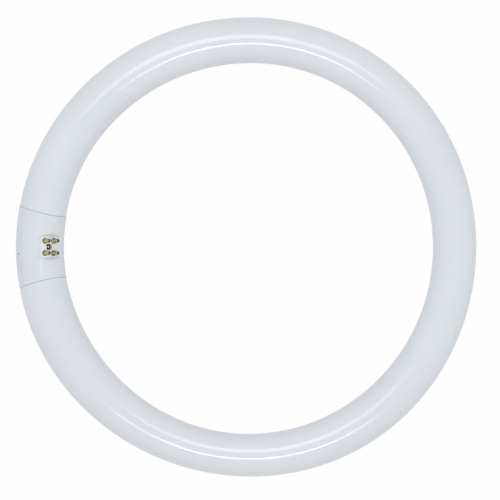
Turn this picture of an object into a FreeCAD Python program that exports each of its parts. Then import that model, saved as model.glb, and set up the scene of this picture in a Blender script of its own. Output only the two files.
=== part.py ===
# Circular fluorescent tube, 12-inch size, with a four-pin cap. Millimetres, +Z up.
# The ring lies flat. The origin is on the ring's axis, at the surface that it lies on.
# The cap is at -X, and its pins point up and in, towards the ring's axis.
import FreeCAD, Part
import math
import os

V = FreeCAD.Vector

# The ring
ring_outer_diameter = 300.0
tube_diameter = 29.6

# The glass ends, which the cap hides
neck_step = 0.7
shoulder_round = 0.5
end_round = 4.0
end_rim_width = 5.1
end_gap = 1.6
flare_throat_radius = 5.0
flare_depth = 6.0
throat_length = 2.0
exhaust_radius = 2.2
exhaust_to_boss = 3.6

# The cap: two moulded shells that meet on a flat parting face
cap_half_length = 24.1
cap_wall = 1.2
neck_clearance = 0.3
end_face_lean = 7.8
seam_gap = 0.3
rim_round = 0.35
lip_height = 1.5
lip_fit = 0.1
# The lip takes this share of the wall
lip_share = 0.45
# The shells part this far above the centre line, with a shallow step along their outer edges
parting_height = 3.2
parting_step = 0.2
pit_diameter = 1.0
pit_offset = 4.5
pit_floor = 0.4

# The pin seat, a flat across the cap with sloped ends
pin_tilt = 30.0
seat_depth = 2.0
seat_thickness = 2.4
seat_margin = 0.94
seat_end_slope = 40.0
seat_corner_round = 0.5
seat_end_wall = 2.5

# The four contact pins
pin_spacing_along = 7.92
pin_spacing_across = 6.35
pin_diameter = 2.36
pin_length = 6.4
pin_fit = 0.05
flange_overhang = 0.62
flange_thickness = 0.55
collar_overhang = 0.47
collar_thickness = 0.6
tail_length = 1.7

# The rivet that holds the shells together
rivet_diameter = 2.4
rivet_fit = 0.1
head_overhang = 0.6
head_crown = 0.5
head_edge = 0.25
head_recess = 2.0
head_room = 0.4
recess_edge_round = 0.4
clinch_overhang = 0.6
clinch_height = 0.7
clinch_recess = 2.0
clinch_room = 0.5
clinch_wall = 0.45
clinch_bore_depth = 3.5
boss_wall = 0.9

# The lead wires, from the glass to the pins
lead_diameter = 0.6
lead_room_in_pin = 0.38
lead_socket_depth = 2.0
lead_socket_fit = 0.05
lead_end_recess = 0.4
# An arc takes up this share of the shorter of its two runs
arc_share = 0.45

# Radii that follow from the driving sizes
tube_radius = tube_diameter / 2
ring_radius = ring_outer_diameter / 2 - tube_radius
neck_radius = tube_radius - neck_step
bore_radius = neck_radius + neck_clearance
cap_radius = bore_radius + cap_wall
lip_thickness = lip_share * (cap_wall - lip_fit)
lead_radius = lead_diameter / 2
pin_radius = pin_diameter / 2
pin_bore_radius = lead_radius + lead_room_in_pin
pin_wall = pin_radius - pin_bore_radius
flange_radius = pin_radius + flange_overhang
collar_radius = pin_radius + collar_overhang
rivet_radius = rivet_diameter / 2
head_radius = rivet_radius + head_overhang
clinch_radius = rivet_radius + clinch_overhang
head_room_radius = head_radius + head_room
clinch_room_radius = clinch_radius + clinch_room
boss_radius = max(head_room_radius, clinch_room_radius) + boss_wall

# Heights above the ring's centre line, along the pins
mid_height = cap_radius
seat_floor = cap_radius - seat_depth
seat_underside = seat_floor - seat_thickness
head_seat = seat_floor - head_recess
clinch_seat = -(cap_radius - clinch_recess)

# Lengths along the tube, from the middle of the cap
seat_half_length = pin_spacing_along / 2 + flange_radius + seat_margin
pad_half_length = seat_half_length + seat_end_wall
glass_end_offset = pad_half_length + end_gap

# The rounded glass ends and their stems
end_rounding = min(end_round, end_rim_width)
stem_depth = flare_depth + throat_length
flare_mouth_radius = neck_radius - end_rim_width
exhaust_length = glass_end_offset - boss_radius - exhaust_to_boss
lead_offset = (exhaust_radius + flare_throat_radius) / 2

# Angles about the ring's axis, in degrees from the middle of the cap
cap_half_angle = math.degrees(math.atan(cap_half_length / ring_radius))
neck_bend_angle = math.degrees((glass_end_offset + end_rounding) / ring_radius)
trim_angle = 2 * cap_half_angle + end_face_lean

# Blocks that only trim are made larger than anything they trim
trim_size = 6 * cap_radius
trim_margin = 1.0

UP = V(0, 0, 1)
CAP_CENTRE = V(-ring_radius, 0, mid_height)
# The cap's own frame: x across the seat and inwards, y along the tube, z along the pins
CAP_FRAME = FreeCAD.Placement(CAP_CENTRE, FreeCAD.Rotation(V(0, 1, 0), pin_tilt))


def placed(shape, frame):
    """A copy of a shape, moved from a frame of its own to the ring's frame."""
    moved = shape.copy()
    moved.Placement = frame * moved.Placement
    return moved


def in_cap(shape):
    """A copy of a shape, moved from the cap's own frame to the ring's frame."""
    return placed(shape, CAP_FRAME)


def bent_bar(radius, start, end):
    """A round bar bent to the ring, between two angles from the cap's middle."""
    circle = Part.Circle(CAP_CENTRE, V(0, 1, 0), radius)
    face = Part.Face(Part.Wire([circle.toShape()]))
    face.rotate(V(0, 0, 0), UP, start)
    return face.revolve(V(0, 0, 0), UP, end - start)


def end_plane(side, offset):
    """A point on the cap's end face and its outward direction; side is +1 towards +Y, -1 towards -Y."""
    slope = cap_half_length / ring_radius
    lean = math.tan(math.radians(end_face_lean))
    tilt = math.radians(pin_tilt)
    outward = V(slope + lean * math.sin(tilt), side, lean * math.cos(tilt)).normalize()
    point = V(-ring_radius, side * cap_half_length, mid_height)
    return point + outward * offset, outward


def block_beyond(side, offset):
    """A large block that fills the space beyond one end face of the cap."""
    point, outward = end_plane(side, offset)
    half = trim_size / 2
    block = Part.makeBox(trim_size, trim_size, trim_size, V(-half, -half, 0))
    block.Placement = FreeCAD.Placement(point, FreeCAD.Rotation(UP, outward))
    return block


def block_within(side, offset):
    """A block on the cap's side of one end face, as long as the cap's half."""
    point, outward = end_plane(side, offset)
    half = trim_size / 2
    depth = 1.5 * cap_half_length
    block = Part.makeBox(trim_size, trim_size, depth, V(-half, -half, -depth))
    block.Placement = FreeCAD.Placement(point, FreeCAD.Rotation(UP, outward))
    return block


def slab(low, high, half_length=trim_size / 2):
    """A slab square to the pins, between two heights in the cap's frame."""
    half = trim_size / 2
    return in_cap(Part.makeBox(trim_size, 2 * half_length, high - low, V(-half, -half_length, low)))


def turned(points):
    """A solid turned about the z axis from a closed outline; an entry of three points is an arc."""
    edges = []
    for item in points:
        ends = [V(radius, 0, height) for radius, height in item]
        if len(ends) == 3:
            edges.append(Part.Arc(*ends).toShape())
        elif ends[0] != ends[1]:
            edges.append(Part.LineSegment(*ends).toShape())
    face = Part.Face(Part.Wire(edges))
    return face.revolve(V(0, 0, 0), UP, 360)


def edges_on(shape, test):
    """The edges of a shape whose every sampled point passes a test."""
    found = []
    for edge in shape.Edges:
        if all(test(point) for point in edge.discretize(7)):
            found.append(edge)
    return found


def from_centre_line(point):
    """Distance of a point from the ring's centre line."""
    return math.hypot(math.hypot(point.x, point.y) - ring_radius, point.z - mid_height)


def on_end_plane(point, side, offset):
    """True where a point lies on the plane that is parallel to one end face."""
    origin, outward = end_plane(side, offset)
    return abs((point - origin).dot(outward)) < 1e-3


def rim_edges(shape, radius, offset):
    """The edges at one radius from the centre line, on the planes of both end faces."""
    def on_rim(point):
        near = any(on_end_plane(point, side, offset) for side in (1, -1))
        return near and abs(from_centre_line(point) - radius) < 1e-3
    return edges_on(shape, on_rim)


def glass_end_frame(side):
    """The frame at one glass end: origin in the end face, z into the glass. The rounded end is straight."""
    angle = math.radians(neck_bend_angle)
    bend_start = V(-ring_radius * math.cos(angle), side * ring_radius * math.sin(angle), mid_height)
    into_glass = V(math.sin(angle), side * math.cos(angle), 0)
    return FreeCAD.Placement(bend_start - into_glass * end_rounding, FreeCAD.Rotation(UP, into_glass))


def glass_end():
    """The rounded end of the neck, about the z axis, as long as its round."""
    inner = neck_radius - end_rounding
    diagonal = end_rounding * math.sqrt(0.5)
    return turned([
        ((0, 0), (inner, 0)),
        ((inner, 0), (inner + diagonal, end_rounding - diagonal), (neck_radius, end_rounding)),
        ((neck_radius, end_rounding), (0, end_rounding)),
        ((0, end_rounding), (0, 0)),
    ])


def flare_hollow():
    """The bell-shaped hollow where the stem's flare is sealed to the tube."""
    drop = flare_mouth_radius - flare_throat_radius
    bend = (drop ** 2 + flare_depth ** 2) / (2 * drop)
    half_turn = math.asin(flare_depth / bend) / 2
    middle = (flare_throat_radius + bend * (1 - math.cos(half_turn)),
              flare_depth - bend * math.sin(half_turn))
    mouth = (flare_mouth_radius, 0)
    throat = (flare_throat_radius, flare_depth)
    return turned([
        ((0, -trim_margin), (flare_mouth_radius, -trim_margin)),
        ((flare_mouth_radius, -trim_margin), mouth),
        (mouth, middle, throat),
        (throat, (flare_throat_radius, stem_depth)),
        ((flare_throat_radius, stem_depth), (0, stem_depth)),
        ((0, stem_depth), (0, -trim_margin)),
    ])


def exhaust_tip():
    """The tipped-off exhaust tube in the middle of the stem."""
    root = stem_depth + trim_margin
    tip = -exhaust_length
    start = tip + exhaust_radius
    diagonal = exhaust_radius * math.sqrt(0.5)
    return turned([
        ((0, root), (exhaust_radius, root)),
        ((exhaust_radius, root), (exhaust_radius, start)),
        ((exhaust_radius, start), (diagonal, start - diagonal), (0, tip)),
        ((0, tip), (0, root)),
    ])


def lead_points(side, across):
    """The corners of one lead's route, in the cap's frame: stem, turn below the pin, pin tip."""
    stem = glass_end_frame(side).multVec(V(0, 0, stem_depth))
    stem = CAP_FRAME.inverse().multVec(stem) + V(across * lead_offset, 0, 0)
    pin_x = across * pin_spacing_across / 2
    pin_y = side * pin_spacing_along / 2
    turn = V(pin_x, pin_y, stem.z)
    start = stem + (stem - turn).normalize() * lead_socket_depth
    tip = V(pin_x, pin_y, seat_floor + pin_length - lead_end_recess)
    return start, turn, tip


def make_glass():
    """The sealed tube: one solid ring with a narrower neck and a stem at each end."""
    glass = bent_bar(tube_radius, neck_bend_angle, 360 - neck_bend_angle)
    for side in (1, -1):
        glass = glass.cut(block_within(side, seam_gap))
    for turn in (1, -1):
        glass = glass.fuse(bent_bar(neck_radius, turn * neck_bend_angle, turn * trim_angle))
    glass = glass.removeSplitter()
    glass = glass.makeFillet(min(shoulder_round, neck_step), rim_edges(glass, tube_radius, seam_gap))
    for side in (1, -1):
        frame = glass_end_frame(side)
        glass = glass.fuse(placed(glass_end(), frame))
        glass = glass.cut(placed(flare_hollow(), frame))
        glass = glass.fuse(placed(exhaust_tip(), frame))
        for across in (1, -1):
            start, turn, tip = lead_points(side, across)
            way = (turn - start).normalize()
            length = lead_socket_depth + trim_margin
            socket = Part.makeCylinder(lead_radius + lead_socket_fit, length, start, way)
            glass = glass.cut(in_cap(socket))
    return glass


def cap_tube():
    """The round wall of the whole cap, trimmed by its two leaning end faces."""
    wall = bent_bar(cap_radius, -trim_angle, trim_angle)
    wall = wall.cut(bent_bar(bore_radius, -trim_angle - 1, trim_angle + 1))
    for side in (1, -1):
        wall = wall.cut(block_beyond(side, 0))
    return wall.makeFillet(rim_round, rim_edges(wall, cap_radius, 0))


def inner_ring(radius, low, high):
    """A layer of the bore out to a radius, between two heights in the cap's frame."""
    layer = bent_bar(radius, -trim_angle, trim_angle).common(slab(low, high))
    for side in (1, -1):
        layer = layer.cut(block_beyond(side, 0))
    return layer


def parting_groove():
    """The groove round the cap where the shells meet, one step deep and two steps wide."""
    band = slab(parting_height - parting_step, parting_height + parting_step)
    return band.cut(bent_bar(cap_radius - parting_step, -trim_angle - 1, trim_angle + 1))


def side_pit():
    """The small round pit in the outer side of the cap."""
    depth = cap_wall - pit_floor + trim_margin
    start = V(-(bore_radius + pit_floor), -pit_offset, 0)
    return in_cap(Part.makeCylinder(pit_diameter / 2, depth, start, V(-1, 0, 0)))


def head_recess_cutter():
    """The round recess for the rivet's head, with a rounded edge at the seat."""
    wide = head_room_radius + recess_edge_round
    low = seat_floor - recess_edge_round
    setback = recess_edge_round * (1 - math.sqrt(0.5))
    top = seat_floor + trim_margin
    return in_cap(turned([
        ((0, head_seat), (head_room_radius, head_seat)),
        ((head_room_radius, head_seat), (head_room_radius, low)),
        ((head_room_radius, low), (head_room_radius + setback, seat_floor - setback), (wide, seat_floor)),
        ((wide, seat_floor), (wide, top)),
        ((wide, top), (0, top)),
        ((0, top), (0, head_seat)),
    ]))


def seat_cutter():
    """The space above the seat: a flat floor, sloped ends and rounded corners between them."""
    rise = seat_depth + trim_margin
    top = seat_half_length + rise * math.tan(math.radians(seat_end_slope))
    half = trim_size / 2
    corners = [(-seat_half_length, 0), (seat_half_length, 0), (top, rise), (-top, rise)]
    points = [V(-half, y, seat_floor + z) for y, z in corners]
    face = Part.Face(Part.makePolygon(points + points[:1]))
    block = face.extrude(V(trim_size, 0, 0))

    def at_floor_corner(point):
        at_floor = abs(point.z - seat_floor) < 1e-3
        return at_floor and abs(abs(point.y) - seat_half_length) < 1e-3
    return in_cap(block.makeFillet(seat_corner_round, edges_on(block, at_floor_corner)))


def pin_places():
    """The four pin centres on the seat, as x and y in the cap's frame."""
    places = []
    for side in (1, -1):
        for across in (-1, 1):
            places.append((across * pin_spacing_across / 2, side * pin_spacing_along / 2))
    return places


def boss(low, high):
    """The round post that the rivet passes through, between two heights."""
    return in_cap(Part.makeCylinder(boss_radius, high - low, V(0, 0, low)))


def rivet_hole():
    """The way for the rivet's shank through both shells."""
    length = 2 * (cap_radius + trim_margin)
    return in_cap(Part.makeCylinder(rivet_radius + rivet_fit, length, V(0, 0, -length / 2)))


def make_cap_front():
    """The shell on the pins' side: wall, seat, boss, and the holes for pins and rivet."""
    shell = cap_tube().cut(slab(-trim_size / 2, parting_height)).cut(parting_groove())
    groove_top = parting_height + lip_height + lip_fit
    shell = shell.cut(inner_ring(bore_radius + lip_thickness + lip_fit, parting_height - trim_margin, groove_top))
    pad = bent_bar((bore_radius + cap_radius) / 2, -trim_angle, trim_angle)
    pad = pad.common(slab(seat_underside, trim_size / 2, pad_half_length))
    shell = shell.fuse(pad).fuse(boss(parting_height, seat_underside + trim_margin / 2))
    shell = shell.cut(seat_cutter()).cut(head_recess_cutter()).cut(rivet_hole())
    for x, y in pin_places():
        hole = Part.makeCylinder(pin_radius + pin_fit, trim_size / 2, V(x, y, seat_underside - trim_margin))
        shell = shell.cut(in_cap(hole))
    return shell


def make_cap_back():
    """The shell on the far side: wall, locating lip, boss, pit, and the rivet's way and recess."""
    shell = cap_tube().cut(slab(parting_height, trim_size / 2)).cut(parting_groove())
    lip = inner_ring(bore_radius + lip_thickness, parting_height - trim_margin, parting_height + lip_height)
    lip = lip.cut(bent_bar(bore_radius, -trim_angle - 1, trim_angle + 1))
    shell = shell.fuse(lip).fuse(boss(-(bore_radius + cap_radius) / 2, parting_height))
    depth = clinch_recess + trim_margin
    recess = Part.makeCylinder(clinch_room_radius, depth, V(0, 0, clinch_seat), V(0, 0, -1))
    shell = shell.cut(in_cap(recess)).cut(rivet_hole())
    return shell.cut(side_pit())


def make_pin(x, y):
    """A hollow brass pin: rolled tip, flange on the seat, clinched collar behind it, open tail."""
    bend = pin_wall * math.sqrt(0.5)
    tail = -(seat_thickness + tail_length)
    under = -seat_thickness
    rolled = pin_length - pin_wall
    pin = turned([
        ((pin_bore_radius, tail), (pin_radius, tail)),
        ((pin_radius, tail), (pin_radius, under - collar_thickness)),
        ((pin_radius, under - collar_thickness), (collar_radius, under - collar_thickness)),
        ((collar_radius, under - collar_thickness), (collar_radius, under)),
        ((collar_radius, under), (pin_radius, under)),
        ((pin_radius, under), (pin_radius, 0)),
        ((pin_radius, 0), (flange_radius, 0)),
        ((flange_radius, 0), (flange_radius, flange_thickness)),
        ((flange_radius, flange_thickness), (pin_radius, flange_thickness)),
        ((pin_radius, flange_thickness), (pin_radius, rolled)),
        ((pin_radius, rolled), (pin_bore_radius + bend, rolled + bend), (pin_bore_radius, pin_length)),
        ((pin_bore_radius, pin_length), (pin_bore_radius, tail)),
    ])
    pin.translate(V(x, y, seat_floor))
    return in_cap(pin)


def make_rivet():
    """The rivet: a domed head in front, and a hollow end rolled over behind."""
    bore = rivet_radius - clinch_wall
    dome = (head_radius ** 2 + head_crown ** 2) / (2 * head_crown)
    half_turn = math.asin(head_radius / dome) / 2
    top = head_seat + head_edge + head_crown
    middle = (dome * math.sin(half_turn), top - dome * (1 - math.cos(half_turn)))
    end = clinch_seat - clinch_height
    crest = ((clinch_radius + bore) / 2, end - (clinch_radius - bore) / 4)
    hollow = clinch_seat + clinch_bore_depth
    rivet = turned([
        ((0, top), middle, (head_radius, head_seat + head_edge)),
        ((head_radius, head_seat + head_edge), (head_radius, head_seat)),
        ((head_radius, head_seat), (rivet_radius, head_seat)),
        ((rivet_radius, head_seat), (rivet_radius, clinch_seat)),
        ((rivet_radius, clinch_seat), (clinch_radius, clinch_seat)),
        ((clinch_radius, clinch_seat), (clinch_radius, end)),
        ((clinch_radius, end), crest, (bore, end)),
        ((bore, end), (bore, hollow - bore)),
        ((bore, hollow - bore), (0, hollow)),
        ((0, hollow), (0, top)),
    ])
    return in_cap(rivet)


def make_lead(side, across):
    """One lead wire: two straight runs joined by a tangent arc, from the stem to its pin's tip."""
    start, turn, tip = lead_points(side, across)
    back = (start - turn).normalize()
    ahead = (tip - turn).normalize()
    half_turn = (math.pi - back.getAngle(ahead)) / 2
    setback = arc_share * min((start - turn).Length, (tip - turn).Length)
    bend = setback / math.tan(half_turn)
    centre = turn + (back + ahead).normalize() * (bend / math.cos(half_turn))
    middle = centre + (turn - centre).normalize() * bend
    arc_start = turn + back * setback
    arc_end = turn + ahead * setback
    path = Part.Wire([
        Part.LineSegment(start, arc_start).toShape(),
        Part.Arc(arc_start, middle, arc_end).toShape(),
        Part.LineSegment(arc_end, tip).toShape(),
    ])
    section = Part.Wire([Part.Circle(start, back, lead_radius).toShape()])
    wire = path.makePipeShell([section], True, False)
    print("lead bend radius %.2f, volume %.3f of %.3f"
          % (bend, wire.Volume, math.pi * lead_radius ** 2 * path.Length))
    return in_cap(wire)


def build():
    """All the pieces, by name."""
    pieces = {
        "glass_tube": make_glass(),
        "cap_front": make_cap_front(),
        "cap_back": make_cap_back(),
        "rivet": make_rivet(),
    }
    for number, (x, y) in enumerate(pin_places(), start=1):
        pieces["contact_pin_%d" % number] = make_pin(x, y)
        side = 1 if y > 0 else -1
        across = 1 if x > 0 else -1
        pieces["lead_wire_%d" % number] = make_lead(side, across)
    return pieces


def main():
    """Write one STEP file for each piece."""
    os.makedirs("parts", exist_ok=True)
    for name, shape in build().items():
        shape.exportStep("parts/%s.step" % name)
        print("%s: solids %d, volume %.2f" % (name, len(shape.Solids), shape.Volume))


main()
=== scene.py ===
# Circular fluorescent tube with a four-pin cap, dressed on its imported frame.
# Laid out as an add-on and run as a script. Sizes named _mm are millimetres; meshes are in metres.
import math

import bpy
import numpy as np
from bpy.props import FloatProperty, FloatVectorProperty, PointerProperty
from mathutils import Matrix, Vector


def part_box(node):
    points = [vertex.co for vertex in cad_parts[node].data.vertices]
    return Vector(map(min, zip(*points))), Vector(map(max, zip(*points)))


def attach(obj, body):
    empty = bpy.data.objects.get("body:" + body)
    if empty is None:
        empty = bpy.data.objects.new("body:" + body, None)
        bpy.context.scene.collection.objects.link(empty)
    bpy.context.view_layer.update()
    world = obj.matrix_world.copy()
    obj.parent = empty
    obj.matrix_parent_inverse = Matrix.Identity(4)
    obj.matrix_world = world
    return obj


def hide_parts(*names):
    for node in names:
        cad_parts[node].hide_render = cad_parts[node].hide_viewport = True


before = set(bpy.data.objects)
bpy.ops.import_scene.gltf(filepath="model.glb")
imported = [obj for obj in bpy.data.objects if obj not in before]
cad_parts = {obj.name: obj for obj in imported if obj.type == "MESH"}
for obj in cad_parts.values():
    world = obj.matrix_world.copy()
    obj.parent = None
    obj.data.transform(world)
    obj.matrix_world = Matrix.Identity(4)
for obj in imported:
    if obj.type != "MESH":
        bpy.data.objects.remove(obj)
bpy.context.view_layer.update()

bl_info = {
    "name": "Circular fluorescent tube",
    "version": (1, 0, 0),
    "blender": (4, 5, 0),
    "location": "3D View > Sidebar > Ring Lamp",
    "description": "Dresses the packed circular fluorescent tube: glass, cap, pins, rivet, leads and stage",
    "category": "Object",
}

MM = 0.001
BODY = "root"

# Sizes that the part's source has too, in millimetres
RING_RADIUS_MM = 135.2
MID_HEIGHT_MM = 15.6
NECK_RADIUS_MM = 14.1
CAP_RADIUS_MM = 15.6
CAP_HALF_LENGTH_MM = 24.1
END_LEAN = math.radians(7.8)
PIN_TILT = math.radians(30)
SEAT_FLOOR_MM = 13.6
GLASS_END_MM = 10.8
SHOULDER_ROUND_MM = 0.5
END_ROUND_MM = 4.0
END_RIM_MM = 5.1
THROAT_RADIUS_MM = 5.0
FLARE_DEPTH_MM = 6.0
STEM_DEPTH_MM = 8.0
EXHAUST_RADIUS_MM = 2.2
EXHAUST_LENGTH_MM = 4.0

# The cap's own frame: x across the seat and inwards, y along the tube, z along the pins
CAP_FRAME = (Matrix.Translation((-RING_RADIUS_MM * MM, 0, MID_HEIGHT_MM * MM))
             @ Matrix.Rotation(PIN_TILT, 4, "Y"))
# The small pit in the back shell's outer side
PIT = CAP_FRAME @ (Vector((-15.3, -4.5, 0.0)) * MM)
# The pale streak painted on the cap as a highlight, outwards from the ring's centre line
CREST_HIGHLIGHT_OUT_MM = -1.1
# A speck about 1 mm across on the glass, at its outer upper side
SPECK = Vector((93.7, 113.7, 23.5)) * MM

# Points round the glass's section, rings along its body and beside the cap, and points round a turned piece
SECTION_POINTS = 112
BODY_RINGS = 260
BESIDE_RINGS = 18
TURNED_POINTS = 64

# The umbrella lamp's ovals: name, nearness, size in metres, and share of its light. An umbrella is brightest
# in its middle, and each oval is a little nearer than the last, because lamps in one plane hide each other
# in reflections.
UMBRELLA_PLACE = Vector((-0.05, 0.50, 1.33))
UMBRELLA_OVALS = (("spill", 1.0, (1.5, 0.50), 0.10), ("wide", 0.99, (0.90, 0.54), 0.48),
                  ("core", 0.98, (0.50, 0.40), 0.42))
# The strip lamp's two lengths, written the same way. The strip fades towards its ends.
STRIP_PLACE = Vector((0.0, -1.85, 5.6))
STRIP_LENGTHS = (("long", 1.0, (2.8, 0.72), 0.45), ("short", 0.99, (1.6, 0.72), 0.55))


# Properties

class RingLampSizes(bpy.types.PropertyGroup):
    """Sizes of the parts that the scene makes itself."""
    half_thickness: FloatProperty(
        name="Glass half thickness", unit="LENGTH", default=14.8 * MM, precision=5,
        description="Mean radius of the glass tube's section")
    seam_gap: FloatProperty(
        name="Seam gap", unit="LENGTH", default=0.08 * MM, precision=5,
        description="Gap between the glass's shoulder and the cap's end face")
    flush_radius: FloatProperty(
        name="Radius beside the cap", unit="LENGTH", default=15.45 * MM, precision=5,
        description="Radius of the glass where it meets the cap")
    flush_length: FloatProperty(
        name="Length beside the cap", unit="LENGTH", default=14.0 * MM, precision=5,
        description="Length over which the glass comes to that radius")
    pin_radius: FloatProperty(
        name="Pin radius", unit="LENGTH", default=1.18 * MM, precision=5,
        description="Outer radius of a contact pin")
    pin_length: FloatProperty(
        name="Pin length", unit="LENGTH", default=6.36 * MM, precision=5,
        description="Length of a contact pin above its seat")


class RingLampColours(bpy.types.PropertyGroup):
    """Colours of the lamp, as linear light."""
    coating: FloatVectorProperty(
        name="Coating", subtype="COLOR", size=3, default=(0.722, 0.750, 0.790), min=0, max=1,
        description="White coating inside the glass")
    cap: FloatVectorProperty(
        name="Cap", subtype="COLOR", size=3, default=(0.673, 0.710, 0.760), min=0, max=1,
        description="Moulded plastic of the cap")
    brass: FloatVectorProperty(
        name="Brass", subtype="COLOR", size=3, default=(0.92, 0.85, 0.49), min=0, max=1,
        description="Clean brass of the pins and the rivet")
    # The dark colour on the brass: tarnish, and painted shade and dark reflection
    tarnish_and_shade: FloatVectorProperty(
        name="Tarnish", subtype="COLOR", size=3, default=(0.046, 0.041, 0.010), min=0, max=1,
        description="Dark skin on the brass")
    wire: FloatVectorProperty(
        name="Wire", subtype="COLOR", size=3, default=(0.50, 0.45, 0.40), min=0, max=1,
        description="Lead wires")


class RingLampStage(bpy.types.PropertyGroup):
    """Floor, lamps and camera."""
    camera_height: FloatProperty(
        name="Camera height", unit="LENGTH", default=2.25,
        description="Height of the camera over the ring's middle plane")
    camera_x: FloatProperty(
        name="Camera X", unit="LENGTH", default=1.69 * MM, precision=5,
        description="Place of the camera across the ring")
    camera_y: FloatProperty(
        name="Camera Y", unit="LENGTH", default=-2.0 * MM, precision=5,
        description="Place of the camera along the cap")
    lens: FloatProperty(
        name="Lens", unit="CAMERA", default=248.6,
        description="Focal length in millimetres")
    umbrella: FloatProperty(
        name="Umbrella", default=3.4,
        description="Radiance at the middle of the broad umbrella lamp")
    strip: FloatProperty(
        name="Strip", default=9.0,
        description="Radiance at the middle of the far strip lamp")
    walls: FloatProperty(
        name="Walls", default=0.98,
        description="Radiance of the room near the horizon")
    ceiling: FloatProperty(
        name="Ceiling", default=0.68,
        description="Radiance of the room overhead")


# Meshes

def strips(first, second, m):
    """Four-sided faces between rings of m points: ring first[k] is joined to ring second[k]."""
    j = np.arange(m)
    nxt = (j + 1) % m
    one, other = first[:, None] * m, second[:, None] * m
    return np.stack([one + j, one + nxt, other + nxt, other + j], -1).reshape(-1, 4)


def strips_uv(v_first, v_second, m):
    """The UV places of the strips' corners, from the share v of the way along at each ring of a pair."""
    j = np.arange(m)
    u0, u1 = np.tile(j / m, len(v_first)), np.tile((j + 1) / m, len(v_first))
    v0, v1 = np.repeat(v_first, m), np.repeat(v_second, m)
    return np.stack([np.stack([u0, v0], -1), np.stack([u1, v0], -1),
                     np.stack([u1, v1], -1), np.stack([u0, v1], -1)], 1).reshape(-1, 2)


def fans(count, m):
    """Triangles from two poles to the first and the last of count rings of m points. The poles are the
    two points after the rings' own."""
    j = np.arange(m)
    nxt = (j + 1) % m
    low, high, top = count * m, count * m + 1, (count - 1) * m
    return np.concatenate([np.stack([np.full(m, low), nxt, j], -1),
                           np.stack([np.full(m, high), top + j, top + nxt], -1)])


def fans_uv(along, m):
    """The UV places of the fans' corners. along is the share at the first pole, at each ring and at the
    last pole."""
    j = np.arange(m)
    before, mid, after = j / m, (j + 0.5) / m, (j + 1) / m
    low_pole, low_ring, high_ring, high_pole = (np.full(m, along[k]) for k in (0, 1, -2, -1))
    low = [np.stack([mid, low_pole], -1), np.stack([after, low_ring], -1), np.stack([before, low_ring], -1)]
    high = [np.stack([mid, high_pole], -1), np.stack([before, high_ring], -1),
            np.stack([after, high_ring], -1)]
    return np.concatenate([np.stack(low, 1), np.stack(high, 1)]).reshape(-1, 2)


def new_mesh(name, points, quads, tris, uv):
    """A smooth mesh of four-sided faces and triangles, with a UV place for each corner of a face."""
    corners = np.concatenate([quads.ravel(), tris.ravel()])
    sizes = np.concatenate([np.full(len(quads), 4), np.full(len(tris), 3)])
    mesh = bpy.data.meshes.new(name)
    mesh.vertices.add(len(points))
    mesh.vertices.foreach_set("co", points.astype(np.float32).ravel())
    mesh.loops.add(len(corners))
    mesh.loops.foreach_set("vertex_index", corners.astype(np.int32))
    mesh.polygons.add(len(sizes))
    mesh.polygons.foreach_set("loop_start", (np.cumsum(sizes) - sizes).astype(np.int32))
    mesh.update(calc_edges=True)
    layer = mesh.uv_layers.new(name="UVMap")
    layer.data.foreach_set("uv", uv.astype(np.float32).ravel())
    mesh.polygons.foreach_set("use_smooth", np.ones(len(sizes), bool))
    return mesh


def surface(name, rings, loop, uv_along=None, section=None):
    """A closed surface through rings of points.

    rings is an array of n rings by m points by 3 coordinates. Point j of ring i is joined to point j+1
    of its ring, the last one to the first, and to point j of the next ring. With loop, the last ring is
    joined to the first. Without it, each end ring is shrunk to its mean, which is a pole that closes the
    surface with triangles. The UV map holds the share of the way round a ring, and uv_along, which is the
    share of the way from the first ring to the last. section is two numbers for each ring, which its
    points keep as the attribute section_mm."""
    n, m = rings.shape[:2]
    along = np.linspace(0, 1, n) if uv_along is None else uv_along
    if loop:
        first = np.arange(n)
        points = rings.reshape(-1, 3)
        quads, tris = strips(first, (first + 1) % n, m), np.zeros((0, 3), int)
        uv = strips_uv(along, np.append(along[1:], 1.0), m)
    else:
        first = np.arange(n - 3)
        points = np.concatenate([rings[1:-1].reshape(-1, 3), rings[0].mean(0)[None], rings[-1].mean(0)[None]])
        quads, tris = strips(first, first + 1, m), fans(n - 2, m)
        uv = np.concatenate([strips_uv(along[1:-2], along[2:-1], m), fans_uv(along, m)])
    mesh = new_mesh(name, points, quads, tris, uv)
    if section is not None:
        values = np.repeat(section if loop else section[1:-1], m, axis=0)
        if not loop:
            values = np.concatenate([values, section[:1], section[-1:]])
        values = np.column_stack([values, np.zeros(len(values))])
        kept = mesh.attributes.new("section_mm", "FLOAT_VECTOR", "POINT")
        kept.data.foreach_set("vector", values.astype(np.float32).ravel())
    if signed_volume(mesh) < 0:
        mesh.flip_normals()
    mesh.validate()
    return mesh


def signed_volume(mesh):
    """Volume inside a closed mesh: the sum of the tetrahedra from the first point to each triangle."""
    mesh.calc_loop_triangles()
    points = np.empty(len(mesh.vertices) * 3)
    mesh.vertices.foreach_get("co", points)
    points = points.reshape(-1, 3)
    points = points - points[0]
    tris = np.empty(len(mesh.loop_triangles) * 3, np.int32)
    mesh.loop_triangles.foreach_get("vertices", tris)
    a, b, c = (points[tris.reshape(-1, 3)[:, k]] for k in range(3))
    return float(np.einsum("ij,ij->i", a, np.cross(b, c)).sum() / 6)


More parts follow.
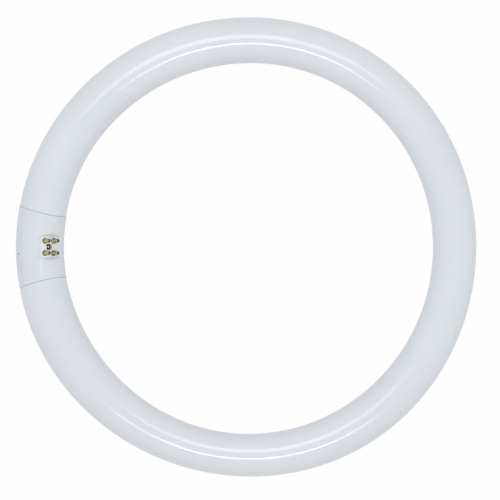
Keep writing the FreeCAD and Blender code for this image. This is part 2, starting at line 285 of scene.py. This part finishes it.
def outline(corners, closed, steps=6):
    """An outline of straight sides with rounded corners.

    corners holds (radius, height, round) in millimetres. Each corner becomes an arc tangent to both of its
    sides, of its own round, or a single point where that is 0. Returns an array of points."""
    places = np.array([c[:2] for c in corners], float)
    rounds = [c[2] for c in corners]
    count = len(corners)
    points = []
    for k in range(count):
        here = places[k]
        if rounds[k] <= 0 or (not closed and k in (0, count - 1)):
            points.append(here[None])
            continue
        back, ahead = places[k - 1] - here, places[(k + 1) % count] - here
        back, ahead = back / np.linalg.norm(back), ahead / np.linalg.norm(ahead)
        half = math.acos(float(np.clip(back @ ahead, -1, 1))) / 2
        setback = rounds[k] / math.tan(half)
        middle = (back + ahead) / np.linalg.norm(back + ahead)
        centre = here + middle * (rounds[k] / math.sin(half))
        start, end = here + back * setback, here + ahead * setback
        a0 = math.atan2(*(start - centre)[::-1])
        turn = math.atan2(*(end - centre)[::-1]) - a0
        turn = (turn + math.pi) % (2 * math.pi) - math.pi
        angles = a0 + turn * np.linspace(0, 1, steps)
        points.append(centre + rounds[k] * np.stack([np.cos(angles), np.sin(angles)], -1))
    return np.concatenate(points)


def split_long(points, longest, closed):
    """The same outline with extra points on its long sides, none of them longer than a given length."""
    ends = np.roll(points, -1, axis=0) if closed else points[1:]
    starts = points if closed else points[:-1]
    parts = []
    for start, end in zip(starts, ends):
        pieces = max(1, math.ceil(np.linalg.norm(end - start) / longest))
        share = np.arange(pieces)[:, None] / pieces
        parts.append(start + (end - start) * share)
    if not closed:
        parts.append(points[-1:])
    return np.concatenate(parts)


def turned(name, profile, place, closed):
    """A turned piece: the outline (radius r, height h) carried round the z axis.

    A point is (r cos t, r sin t, h) for t from 0 to a full turn, moved by place. profile is in millimetres,
    and each point keeps its r and h as the attribute section_mm."""
    t = np.linspace(0, 2 * math.pi, TURNED_POINTS, endpoint=False)
    r, h = profile[:, :1], profile[:, 1:]
    local = np.stack([r * np.cos(t), r * np.sin(t), h + 0 * t], -1) * MM
    turn, shift = np.array(place.to_3x3()), np.array(place.translation)
    steps = np.linalg.norm(np.diff(profile, axis=0), axis=1)
    along = np.concatenate([[0], np.cumsum(steps)])
    if closed:
        along = along / (along[-1] + np.linalg.norm(profile[0] - profile[-1]))
    else:
        along = along / along[-1]
    return surface(name, local @ turn.T + shift, closed, along, profile)


def show(name, mesh, material, node):
    """Adds a mesh as a visible piece that rides on the lamp and stands for a CAD node."""
    piece = bpy.data.objects.new(name, mesh)
    bpy.context.scene.collection.objects.link(piece)
    mesh.materials.append(material)
    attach(piece, BODY)
    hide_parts(node)


# The glass

def swell_mm(a):
    """How the tube's half thickness departs from its mean round the ring, as bending left it.

    Four waves of one to four swells in the turn, each a height times the cosine of its angle."""
    return (0.62 * np.cos(a - math.radians(148)) + 0.21 * np.cos(2 * a + math.radians(6))
            + 0.26 * np.cos(3 * a + math.radians(135)) + 0.19 * np.cos(4 * a - math.radians(138)))


def wander_mm(a):
    """How the tube's centre line departs from a true circle: an offset and a slight three-sided wave."""
    return 0.44 * np.cos(a + math.radians(48)) + 0.49 * np.cos(3 * a - math.radians(157))


def end_face_angle(rho, v, offset_mm):
    """Ring angle, from the cap's middle, at which a point of the section meets a plane.

    The plane is parallel to the cap's leaning end face and lies offset_mm beyond it. A point at angle f is
    (-(R + rho sin v) cos f, (R + rho sin v) sin f, rho cos v), and putting it into the plane's equation
    gives A sin(f - d) = K, where d is the plane's own angle. The other end is its mirror image."""
    slope = CAP_HALF_LENGTH_MM / RING_RADIUS_MM
    lean = math.tan(END_LEAN)
    normal = np.array([slope + lean * math.sin(PIN_TILT), 1.0, lean * math.cos(PIN_TILT)])
    nx, ny, nz = normal / np.linalg.norm(normal)
    reach = RING_RADIUS_MM + rho * np.sin(v)
    k = offset_mm - RING_RADIUS_MM * nx + CAP_HALF_LENGTH_MM * ny - rho * np.cos(v) * nz
    return math.atan2(nx, ny) + np.arcsin(k / (reach * math.hypot(nx, ny)))


def glass_end_rings(side, v, flush_mm, seam_mm):
    """Rings of points from the exhaust tube's tip, over the flare and the neck, to the leaning shoulder.

    Each ring has a radius rho and a place s along the tube from the glass's end, and its points are the
    ring's own: rho sin v outwards from the centre line, rho cos v upwards. Returns the rings and the ring
    angles of the last one."""
    tip = outline([(0, -EXHAUST_LENGTH_MM, 0), (EXHAUST_RADIUS_MM, -EXHAUST_LENGTH_MM, 2.0),
                   (EXHAUST_RADIUS_MM, STEM_DEPTH_MM, 0.5), (THROAT_RADIUS_MM, STEM_DEPTH_MM, 0.8),
                   (THROAT_RADIUS_MM, FLARE_DEPTH_MM, 0)], False, 8)
    mouth = NECK_RADIUS_MM - END_RIM_MM
    drop = mouth - THROAT_RADIUS_MM
    bend = (drop ** 2 + FLARE_DEPTH_MM ** 2) / (2 * drop)
    turn = np.linspace(math.asin(FLARE_DEPTH_MM / bend), 0, 12)[1:]
    flare = np.stack([THROAT_RADIUS_MM + drop - bend * (1 - np.cos(turn)), bend * np.sin(turn)], -1)
    quarter = np.linspace(0, math.pi / 2, 10)
    rim = np.stack([NECK_RADIUS_MM - END_ROUND_MM * (1 - np.sin(quarter)),
                    END_ROUND_MM * (1 - np.cos(quarter))], -1)
    profile = np.concatenate([tip, flare[:-1], [(mouth, 0.0)], rim])
    profile = split_long(profile, 1.5, False)
    rho, s = profile[:, :1], profile[:, 1:]
    f = (GLASS_END_MM + s) / RING_RADIUS_MM
    rings = [ring_points(f, rho * np.sin(v), rho * np.cos(v), 0.0, side)]
    # From the neck to the shoulder, which leans as the cap's end face does
    at_plane = end_face_angle(NECK_RADIUS_MM, v, seam_mm)
    start = f[-1]
    share = np.linspace(0, 1, 8)[1:, None]
    f = start + (at_plane - start) * share
    rings.append(ring_points(f, NECK_RADIUS_MM * np.sin(v), NECK_RADIUS_MM * np.cos(v), 0.0, side))
    # Up the shoulder's face, with one ring 1 mm in from its edge, and round the edge
    arc = np.linspace(0, math.pi / 2, 7)
    inset = np.append(1.0, SHOULDER_ROUND_MM * (1 - np.sin(arc)))[:, None]
    beyond = np.append(0.0, SHOULDER_ROUND_MM * (1 - np.cos(arc)))[:, None]
    rho = flush_mm - inset
    f = end_face_angle(rho, v, seam_mm + beyond)
    rings.append(ring_points(f, rho * np.sin(v), rho * np.cos(v), 0.0, side))
    return np.concatenate(rings), f[-1]


def ring_points(f, out, up, centre, side):
    """Points in metres at ring angle f from the cap's middle, towards +Y or -Y by side.

    out and up are the distances from the centre line, and centre is how far that line is off its circle."""
    reach = RING_RADIUS_MM + centre + out
    x, y = -reach * np.cos(f), side * reach * np.sin(f)
    return np.stack([x, y, MID_HEIGHT_MM + up + 0 * x], -1) * MM


def glass_mesh(sizes):
    """The sealed tube as one closed surface.

    The body is the ring angle a by the section angle v: a point is the centre line's, plus h(a) sin v
    outwards and w(a) cos v upwards. h is the measured half thickness, w follows it by half, and both come
    to the flush radius beside the cap. The ends add the shoulder, the neck, the flare and the exhaust
    tube."""
    v = np.linspace(0, 2 * math.pi, SECTION_POINTS, endpoint=False)
    flush, mean = sizes.flush_radius / MM, sizes.half_thickness / MM
    ends = {side: glass_end_rings(side, v, flush, sizes.seam_gap / MM) for side in (1, -1)}
    # f runs from the +Y shoulder, by the far side, to the -Y shoulder, with closer rings beside the cap
    start, stop = ends[1][1], 2 * math.pi - ends[-1][1]
    beside = 0.06
    near = np.linspace(0, beside, BESIDE_RINGS)
    far = np.linspace(beside, 1 - beside, BODY_RINGS)
    share = np.concatenate([near, far[1:-1], 1 - near[::-1]])[1:-1, None]
    f = start + (stop - start) * share
    a = math.pi - f
    from_cap = np.minimum(f, 2 * math.pi - f) * RING_RADIUS_MM - CAP_HALF_LENGTH_MM
    blend = np.clip(from_cap / (sizes.flush_length / MM), 0, 1)
    blend = blend * blend * (3 - 2 * blend)
    half = flush + (mean + swell_mm(a) - flush) * blend
    rise = flush + (mean + 0.5 * swell_mm(a) - flush) * blend
    body = ring_points(f, half * np.sin(v), rise * np.cos(v), wander_mm(a) * blend, 1)
    rings = np.concatenate([ends[1][0], body, ends[-1][0][::-1]])
    return surface("glass_ring", rings, False)


# Pins and rivet

def pin_profile(sizes):
    """Outline of a hollow pin, as (radius, height over the seat): tail, collar behind the seat, shank,
    rolled flange on the seat, shaft, tip rolled inwards, and the bore back down to the tail."""
    r, top = sizes.pin_radius / MM, sizes.pin_length / MM
    bore, tail = 0.68, -4.1
    collar, collar_top, collar_foot = r + 0.47, -2.4, -3.0
    flange, flange_top = r + 0.62, 0.55
    corners = [(bore, tail, 0.08), (r, tail, 0.1), (r, collar_foot, 0.05),
               (collar, collar_foot, 0.15), (collar, collar_top, 0.1), (r, collar_top, 0), (r, 0, 0),
               (flange, 0, 0.18), (flange, flange_top, 0.3), (r, flange_top, 0.12),
               (r, top, 0.46), (bore, top, 0.03)]
    return split_long(outline(corners, True, 7), 0.5, True)


def rivet_profile():
    """Outline of the rivet, as (radius, height over the parting face): domed head, shank, rolled end,
    and the hollow that the rolling tool leaves."""
    head, shank, rolled, hollow = 1.8, 1.2, 1.8, 0.75
    seat, rim, crown = 11.6, 11.85, 0.5
    roll_front, roll_back, bottom, point = -13.6, -14.6, -10.85, -10.1
    dome = (head ** 2 + crown ** 2) / (2 * crown)
    turn = np.linspace(0, math.asin(head / dome), 12)
    arc = np.stack([dome * np.sin(turn), rim + crown - dome * (1 - np.cos(turn))], -1)
    rest = outline([(head, rim, 0), (head, seat, 0.05), (shank, seat, 0), (shank, roll_front, 0),
                    (rolled, roll_front, 0.05), (rolled, roll_back, 0.32), (hollow, roll_back, 0.3),
                    (hollow, bottom, 0), (0, point, 0)], False)
    return split_long(np.concatenate([arc[:-1], rest]), 1.2, False)


# Materials

class Nodes:
    """A short way to write a material's nodes."""

    def __init__(self, tree):
        self.tree = tree
        tree.nodes.clear()

    def feed(self, node, **sockets):
        """Gives sockets a value or a link. One is named by its name or, after an underscore, its number."""
        for key, value in sockets.items():
            socket = node.inputs[int(key[1:]) if key[0] == "_" else key.replace("_", " ")]
            if isinstance(value, bpy.types.NodeSocket):
                self.tree.links.new(value, socket)
            else:
                socket.default_value = value

    def add(self, kind, **settings):
        """Adds a node, with its own settings by their small names and its sockets as feed has them."""
        node = self.tree.nodes.new(kind)
        for key, value in settings.items():
            if key.islower() and hasattr(node, key):
                setattr(node, key, value)
            else:
                self.feed(node, **{key: value})
        return node

    def math(self, operation, one, other=0.0, clamp=False):
        """One step of arithmetic, on one value or two."""
        return self.add("ShaderNodeMath", operation=operation, use_clamp=clamp,
                        _0=one, _1=other).outputs[0]

    def product(self, *shares):
        """All shares multiplied."""
        result = shares[0]
        for share in shares[1:]:
            result = self.math("MULTIPLY", result, share)
        return result

    def fade(self, value, low, high, to_low=0.0, to_high=1.0):
        """A smooth step of a value from to_low at low to to_high at high."""
        return self.add("ShaderNodeMapRange", interpolation_type="SMOOTHSTEP",
                        _0=value, _1=low, _2=high, _3=to_low, _4=to_high).outputs[0]

    def mix(self, share, one, other):
        """A mix of two colours."""
        return self.add("ShaderNodeMix", data_type="RGBA", _0=share, _6=one, _7=other).outputs[2]

    def noise(self, vector, scale, detail, roughness):
        """Noise of a size, in waves per metre, as a share from 0 to 1."""
        return self.add("ShaderNodeTexNoise", Vector=vector, Scale=scale, Detail=detail,
                        Roughness=roughness).outputs[0]

    def distance(self, vector, point):
        """Distance from a point, in metres."""
        return self.add("ShaderNodeVectorMath", operation="DISTANCE", _0=vector, _1=point).outputs[1]

    def parts(self, vector):
        """A vector's three parts, by the names X, Y and Z."""
        return self.add("ShaderNodeSeparateXYZ", Vector=vector).outputs

    def length(self, one, other):
        """Length of a vector of two parts at right angles."""
        squares = [self.math("MULTIPLY", part, part) for part in (one, other)]
        return self.math("SQRT", self.math("ADD", *squares))

    def bump(self, height, distance, strength):
        """A relief of a depth in metres."""
        return self.add("ShaderNodeBump", Height=height, Distance=distance, Strength=strength).outputs[0]


def material(name):
    """A new material with its node writer, its Object coordinates and its principled shader."""
    made = bpy.data.materials.new(name)
    made.use_nodes = True
    n = Nodes(made.node_tree)
    where = n.add("ShaderNodeTexCoord").outputs["Object"]
    shader = n.add("ShaderNodeBsdfPrincipled")
    n.add("ShaderNodeOutputMaterial", Surface=shader.outputs[0])
    return made, n, where, shader


def rgba(colour, scale=1.0):
    """A colour of four numbers from one of three."""
    return (*[c * scale for c in colour], 1.0)


def coated_glass(colours):
    """Clear glass over a white coating: a diffuse base, a little cloudy, under a glossy clear coat."""
    made, n, where, shader = material("coated_glass")
    cloud = n.noise(where, 22.0, 3.0, 0.55)
    grain = n.noise(where, 900.0, 2.0, 0.6)
    tone = n.mix(n.fade(cloud, 0.35, 0.65), rgba(colours.coating, 0.985), rgba(colours.coating, 1.012))
    tone = n.mix(n.fade(grain, 0.3, 0.7, 0.0, 0.35), tone, rgba(colours.coating, 0.965))
    speck = n.fade(n.distance(where, SPECK), 0.3 * MM, 0.6 * MM, 1.0, 0.0)
    tone = n.mix(speck, tone, (0.11, 0.11, 0.12, 1.0))
    n.feed(shader, Base_Color=tone, Roughness=0.62, Specular_IOR_Level=0.15)
    # The wall is a millimetre of clear glass, which takes a little more light where it is seen edge on.
    # Drawn glass is never quite even: long shallow waves bend its highlights.
    waves = n.bump(n.noise(where, 38.0, 1.0, 0.4), 0.4 * MM, 0.5)
    n.feed(shader, Coat_Weight=1.0, Coat_Roughness=0.085, Coat_IOR=1.5,
           Coat_Tint=(0.955, 0.965, 0.972, 1.0), Coat_Normal=waves)
    return made


def tube_places(n, where):
    """A point's place in the tube, in metres: along the cap, outwards from the ring's centre line, which is
    a circle, and upwards from it."""
    parts = n.parts(where)
    out = n.math("SUBTRACT", n.length(parts["X"], parts["Y"]), RING_RADIUS_MM * MM)
    return parts["Y"], out, n.math("SUBTRACT", parts["Z"], MID_HEIGHT_MM * MM)


def cap_plastic(name, colours, tint):
    """Satin moulded plastic: a fine texture, flow marks, painted light in the recess, a painted highlight
    along the crest, and painted shade in the pit.
    """
    made, n, where, shader = material(name)
    tint = [c * t for c, t in zip(colours.cap, tint)]
    flow = n.noise(where, 60.0, 3.0, 0.6)
    tone = n.mix(n.fade(flow, 0.35, 0.65), rgba(tint, 0.985), rgba(tint, 1.01))
    # Painted light: the recess, below the cap's round outside, is painted lighter to lift the shade in it,
    # fully on its outer part and little at its inner end
    side, out, up = tube_places(n, where)
    depth = n.math("SUBTRACT", CAP_RADIUS_MM * MM, n.length(out, up))
    painted_recess_light = n.product(n.fade(depth, 0.2 * MM, 1.0 * MM), n.fade(out, -9.0 * MM, -4.0 * MM, 0.15, 1.0))
    tone = n.mix(painted_recess_light, tone, rgba(tint, 1.18))
    # A pale streak is painted along the crest as a highlight, from the recess towards the end
    off = n.math("ABSOLUTE", n.math("SUBTRACT", out, CREST_HIGHLIGHT_OUT_MM * MM))
    painted_crest_highlight = n.product(n.fade(off, 0.2 * MM, 1.2 * MM, 1.0, 0.0), n.fade(up, 10.0 * MM, 14.0 * MM),
                       n.fade(side, -12.5 * MM, -6.5 * MM, 1.0, 0.0),
                       n.fade(side, -21.5 * MM, -16.0 * MM))
    tone = n.mix(painted_crest_highlight, tone, rgba(tint, 1.08))
    # Painted shade: the pit's bottom is painted near black, for the shade that falls in it
    painted_pit_shade = n.fade(n.distance(where, PIT), 0.45 * MM, 0.70 * MM, 1.0, 0.0)
    tone = n.mix(painted_pit_shade, tone, (0.03, 0.03, 0.035, 1.0))
    grain = n.noise(where, 2600.0, 2.0, 0.5)
    n.feed(shader, Base_Color=tone, Specular_IOR_Level=0.5,
           Roughness=n.fade(grain, 0.3, 0.7, 0.34, 0.42), Normal=n.bump(grain, 0.02 * MM, 0.25))
    return made


def brass(name, colours, dark_places):
    """Brass with a dark coat of tarnish and painted shade, thick in the given places and blotchy all over.

    dark_places turns a point's distance from the axis and its height, in millimetres, and its side, which
    is 1 towards the ring's axis and -1 away from it, into the share of tarnish and painted shade."""
    made, n, where, shader = material(name)
    section = n.parts(n.add("ShaderNodeAttribute", attribute_name="section_mm").outputs["Vector"])
    round_share = n.parts(n.add("ShaderNodeTexCoord").outputs["UV"])["X"]
    side = n.math("COSINE", n.math("MULTIPLY", round_share, 2 * math.pi))
    tarnish_and_shade_share = dark_places(n, section["X"], section["Y"], side)
    blotch = n.noise(where, 900.0, 4.0, 0.65)
    tarnish_and_shade_share = n.math("ADD", tarnish_and_shade_share, n.fade(blotch, 0.35, 0.70, -0.10, 0.20), clamp=True)
    # Mixes towards the dark colour: tarnish, and painted shade and dark reflection where the masks put them
    tone = n.mix(tarnish_and_shade_share, rgba(colours.brass), rgba(colours.tarnish_and_shade))
    scratch = n.noise(where, 4200.0, 3.0, 0.7)
    n.feed(shader, Base_Color=tone, Metallic=1.0, Specular_Tint=(0.55, 0.48, 0.36, 1.0),
           Roughness=n.fade(tarnish_and_shade_share, 0.0, 1.0, 0.20, 0.55), Normal=n.bump(scratch, 0.01 * MM, 0.3))
    return made


def pin_tarnish_and_shade(n, radius, height, side):
    """A pin's flange rim is painted dark as shade and dark reflection, and its bore as shade. Its tip is dark
    with tarnish and darker still on the inner side as painted shade, and a little tarnish runs along its
    shaft."""
    # Painted shade and dark reflection: the flange beyond 1.38 mm from the axis is dark
    rim = n.fade(radius, 1.24, 1.38, 0.0, 1.0)
    shaft = n.fade(radius, 1.20, 1.26, 1.0, 0.0)
    worn = n.product(shaft, n.fade(height, 1.0, 3.0, 0.0, 0.24))
    # Tarnish at the tip, and painted shade making it darker on the side towards the ring's axis
    tip = n.product(n.fade(height, 5.2, 5.8), n.fade(side, -0.9, -0.1, 0.50, 1.0))
    # Painted shade: the bore is painted dark
    bore = n.fade(radius, 0.78, 0.98, 1.0, 0.0)
    return n.math("MAXIMUM", n.math("MAXIMUM", rim, worn), n.math("MAXIMUM", tip, bore))


def rivet_tarnish_and_shade(n, radius, height, side):
    """The rivet's head is painted dark round its clean crown, as shade and dark reflection, with a lighter
    patch at its outer edge on the side away from the ring's axis as a painted glint. Its rolled end is rubbed
    clean on its crest."""
    # Painted glint: a lighter patch at the head's outer edge, on the side away from the ring's axis
    painted_edge_glint = n.product(n.fade(side, -0.96, -0.84, 0.85, 0.0), n.fade(radius, 1.0, 1.3))
    # Painted shade and dark reflection: the head is dark beyond its crown
    head = n.product(n.fade(radius, 0.25, 0.85), n.math("SUBTRACT", 1.0, painted_edge_glint))
    end = n.fade(n.math("ABSOLUTE", n.math("SUBTRACT", radius, 1.28)), 0.1, 0.45, 0.25, 0.9)
    behind = n.math("LESS_THAN", height, 0.0)
    front = n.math("SUBTRACT", 1.0, behind)
    return n.math("ADD", n.product(head, front), n.product(end, behind))


def lead_metal(colours):
    """Dull drawn wire."""
    made, n, where, shader = material("lead_metal")
    grain = n.noise(where, 3000.0, 3.0, 0.6)
    tone = n.mix(n.fade(grain, 0.3, 0.7), rgba(colours.wire, 0.75), rgba(colours.wire))
    n.feed(shader, Base_Color=tone, Metallic=1.0, Roughness=n.fade(grain, 0.3, 0.7, 0.32, 0.48))
    return made


def wear(node, made):
    """Gives a CAD node a material in each of its slots."""
    slots = node.material_slots
    if not slots:
        node.data.materials.append(made)
    for slot in slots:
        slot.material = made


# Operators

class RINGLAMP_OT_glass(bpy.types.Operator):
    """Make the glass ring and its coating"""
    bl_idname = "ringlamp.glass"
    bl_label = "Glass ring"

    def execute(self, context):
        sizes, colours = context.scene.ring_sizes, context.scene.ring_colours
        show("glass_ring", glass_mesh(sizes), coated_glass(colours), "glass_tube")
        return {"FINISHED"}


class RINGLAMP_OT_cap(bpy.types.Operator):
    """Finish the cap's two moulded shells"""
    bl_idname = "ringlamp.cap"
    bl_label = "Cap shells"

    def execute(self, context):
        # The back shell, on the cap's outer side, is painted a shade darker than the front: painted shade
        for shell, tint in (("cap_front", (1.0, 1.0, 1.0)), ("cap_back", (0.98, 0.98, 0.99))):
            made = cap_plastic(shell + "_plastic", context.scene.ring_colours, tint)
            wear(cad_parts[shell], made)
        return {"FINISHED"}


class RINGLAMP_OT_pins(bpy.types.Operator):
    """Make the four hollow brass contact pins"""
    bl_idname = "ringlamp.pins"
    bl_label = "Contact pins"

    def execute(self, context):
        sizes, colours = context.scene.ring_sizes, context.scene.ring_colours
        finish = brass("pin_brass", colours, pin_tarnish_and_shade)
        profile = pin_profile(sizes)
        seat = SEAT_FLOOR_MM * MM
        for number in range(1, 5):
            low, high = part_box("contact_pin_%d" % number)
            middle = CAP_FRAME.inverted() @ ((low + high) / 2)
            place = CAP_FRAME @ Matrix.Translation((middle.x, middle.y, seat))
            name = "pin_%d" % number
            show(name, turned(name, profile, place, True), finish, "contact_" + name)
        return {"FINISHED"}


class RINGLAMP_OT_rivet(bpy.types.Operator):
    """Make the rivet that holds the shells together"""
    bl_idname = "ringlamp.rivet"
    bl_label = "Rivet"

    def execute(self, context):
        finish = brass("rivet_brass", context.scene.ring_colours, rivet_tarnish_and_shade)
        mesh = turned("turned_rivet", rivet_profile(), CAP_FRAME, False)
        show("turned_rivet", mesh, finish, "rivet")
        return {"FINISHED"}


class RINGLAMP_OT_leads(bpy.types.Operator):
    """Finish the four lead wires inside the cap"""
    bl_idname = "ringlamp.leads"
    bl_label = "Lead wires"

    def execute(self, context):
        made = lead_metal(context.scene.ring_colours)
        for number in range(1, 5):
            wear(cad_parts["lead_wire_%d" % number], made)
        return {"FINISHED"}


class RINGLAMP_OT_stage(bpy.types.Operator):
    """Lay the floor and place the lamps, the surroundings and the camera"""
    bl_idname = "ringlamp.stage"
    bl_label = "Stage"

    def execute(self, context):
        stage = context.scene.ring_stage
        make_floor()
        for name, near, size, share in UMBRELLA_OVALS:
            lamp("umbrella_" + name, "ELLIPSE", UMBRELLA_PLACE * near, size, stage.umbrella * share)
        for name, near, size, share in STRIP_LENGTHS:
            lamp("strip_" + name, "RECTANGLE", STRIP_PLACE * near, size, stage.strip * share)
        make_surroundings(context.scene, stage)
        make_camera(context.scene, stage)
        context.scene.view_settings.view_transform = "Standard"
        return {"FINISHED"}


def seen_directly(n, mirrored_share):
    """1 for a ray from the camera, a share of it for one from a reflection or through glass, else 0."""
    path = n.add("ShaderNodeLightPath").outputs
    mirrored = n.math("MAXIMUM", path["Is Glossy Ray"], path["Is Transmission Ray"])
    return n.math("MAXIMUM", path["Is Camera Ray"], n.math("MULTIPLY", mirrored, mirrored_share))


def make_floor():
    """A wide white sheet. The camera and reflections see it nearly full white, and a faint shadow stays."""
    mesh = bpy.data.meshes.new("floor")
    half = 3.0
    corners = [(-half, -half, 0), (half, -half, 0), (half, half, 0), (-half, half, 0)]
    mesh.from_pydata(corners, [], [(0, 1, 2, 3)])
    floor = bpy.data.objects.new("floor", mesh)
    bpy.context.scene.collection.objects.link(floor)
    made = bpy.data.materials.new("floor_white")
    made.use_nodes = True
    n = Nodes(made.node_tree)
    diffuse = n.add("ShaderNodeBsdfDiffuse", Color=(0.70, 0.70, 0.70, 1.0))
    white = n.add("ShaderNodeEmission", Color=(1.0, 1.0, 1.0, 1.0), Strength=1.0)
    seen = n.math("MULTIPLY", seen_directly(n, 0.65), 0.975)
    mixed = n.add("ShaderNodeMixShader", Fac=seen, _1=diffuse.outputs[0], _2=white.outputs[0])
    n.add("ShaderNodeOutputMaterial", Surface=mixed.outputs[0])
    mesh.materials.append(made)


def lamp(name, shape, place, size, radiance):
    """A flat lamp that faces the ring's middle. Its power is its radiance times its area times pi."""
    data = bpy.data.lights.new(name, "AREA")
    data.shape = shape
    data.size, data.size_y = size
    area = size[0] * size[1] * (math.pi / 4 if shape == "ELLIPSE" else 1)
    data.energy = radiance * area * math.pi
    made = bpy.data.objects.new(name, data)
    bpy.context.scene.collection.objects.link(made)
    made.rotation_mode = "QUATERNION"
    made.rotation_quaternion = (-Vector(place)).to_track_quat("-Z", "Y")
    made.location = place


def make_surroundings(scene, stage):
    """A pale room with brighter walls, and plain white where the camera or a reflection looks past the
    floor."""
    world = bpy.data.worlds.new("studio")
    world.use_nodes = True
    n = Nodes(world.node_tree)
    height = n.parts(n.add("ShaderNodeTexCoord").outputs["Generated"])["Z"]
    level = n.fade(height, 0.1, 0.9, stage.walls, stage.ceiling)
    level = n.math("MAXIMUM", level, seen_directly(n, 1.0))
    room = n.add("ShaderNodeBackground", Color=(1.0, 1.0, 1.0, 1.0), Strength=level)
    n.add("ShaderNodeOutputWorld", Surface=room.outputs[0])
    scene.world = world


def make_camera(scene, stage):
    """The photograph's view: straight down, from a little off the ring's axis."""
    data = bpy.data.cameras.new("camera")
    data.type = "PERSP"
    data.sensor_width = 36.0
    data.lens = stage.lens
    data.clip_start, data.clip_end = 0.05, 20.0
    camera = bpy.data.objects.new("camera", data)
    scene.collection.objects.link(camera)
    camera.location = (stage.camera_x, stage.camera_y, MID_HEIGHT_MM * MM + stage.camera_height)
    scene.camera = camera


# Panel

OPERATORS = (RINGLAMP_OT_glass, RINGLAMP_OT_cap, RINGLAMP_OT_pins, RINGLAMP_OT_rivet,
             RINGLAMP_OT_leads, RINGLAMP_OT_stage)
GROUPS = {"ring_sizes": RingLampSizes, "ring_colours": RingLampColours, "ring_stage": RingLampStage}


class RINGLAMP_PT_panel(bpy.types.Panel):
    """Sizes, colours and steps of the lamp"""
    bl_label = "Circular fluorescent tube"
    bl_idname = "RINGLAMP_PT_panel"
    bl_space_type = "VIEW_3D"
    bl_region_type = "UI"
    bl_category = "Ring Lamp"

    def draw(self, context):
        for name, group in GROUPS.items():
            box = self.layout.box()
            for key in group.__annotations__:
                box.prop(getattr(context.scene, name), key)
        for operator in OPERATORS:
            self.layout.operator(operator.bl_idname)


def register():
    for group in GROUPS.values():
        bpy.utils.register_class(group)
    for operator in (*OPERATORS, RINGLAMP_PT_panel):
        bpy.utils.register_class(operator)
    for name, group in GROUPS.items():
        setattr(bpy.types.Scene, name, PointerProperty(type=group))


def unregister():
    for name in GROUPS:
        delattr(bpy.types.Scene, name)
    for operator in (RINGLAMP_PT_panel, *reversed(OPERATORS)):
        bpy.utils.unregister_class(operator)
    for group in GROUPS.values():
        bpy.utils.unregister_class(group)


def main():
    register()
    for operator in OPERATORS:
        group, name = operator.bl_idname.split(".")
        getattr(getattr(bpy.ops, group), name)()


if __name__ == "__main__":
    main()
